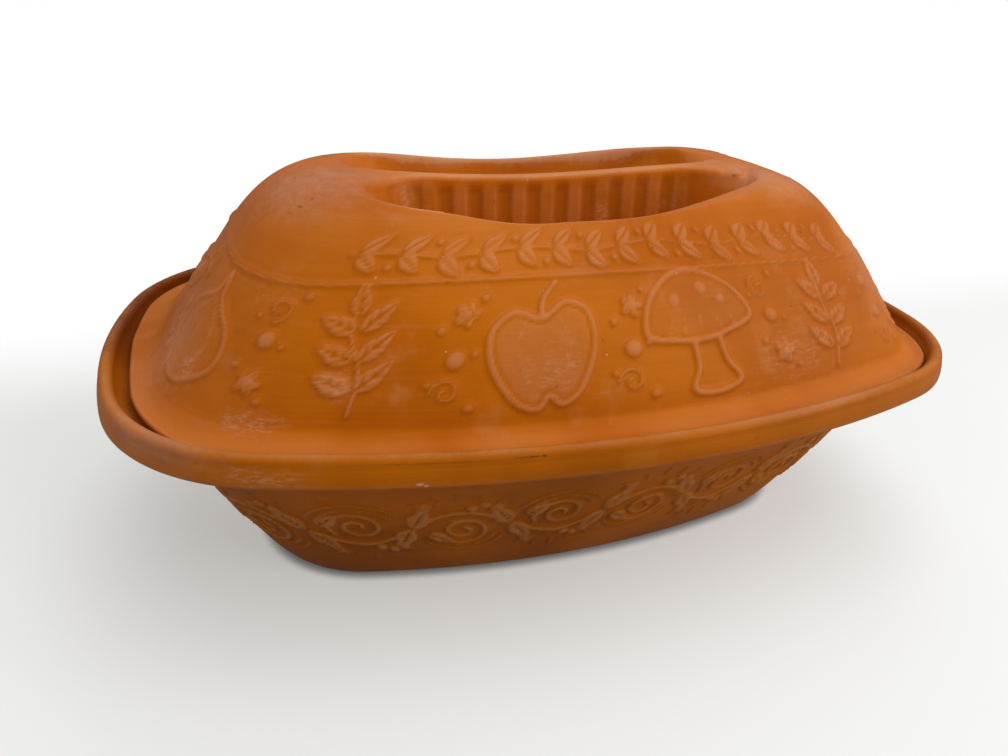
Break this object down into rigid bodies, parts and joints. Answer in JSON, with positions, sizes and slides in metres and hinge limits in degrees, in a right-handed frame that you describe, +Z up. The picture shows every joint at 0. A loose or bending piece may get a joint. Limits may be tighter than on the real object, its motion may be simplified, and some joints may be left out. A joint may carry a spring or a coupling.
{
  "type": "clay roaster",
  "caption": "Oval unglazed clay roaster: a deep flared dish with an upstanding rim, and a domed lid nested inside it with a fluted grip between two finger wells.",
  "frame": {"origin": "middle of the flat foot of the dish, on the surface it stands on", "axes": "+X along the roaster's length, +Y across it, +Z up"},
  "size_m": [0.35, 0.223, 0.1526],
  "materials": {
    "clay_dish": "unglazed terracotta, satin where handled, darker from use",
    "clay_lid": "unglazed terracotta, satin where handled"
  },
  "bodies": {
    "dish": {"dish": "clay_dish"},
    "lid": {"lid": "clay_lid"}
  },
  "joints": [
    {"name": "lid_lift", "type": "slide", "parent": "dish", "child": "lid", "axis": [0, 0, 1], "range_m": [0, 0.2]}
  ]
}
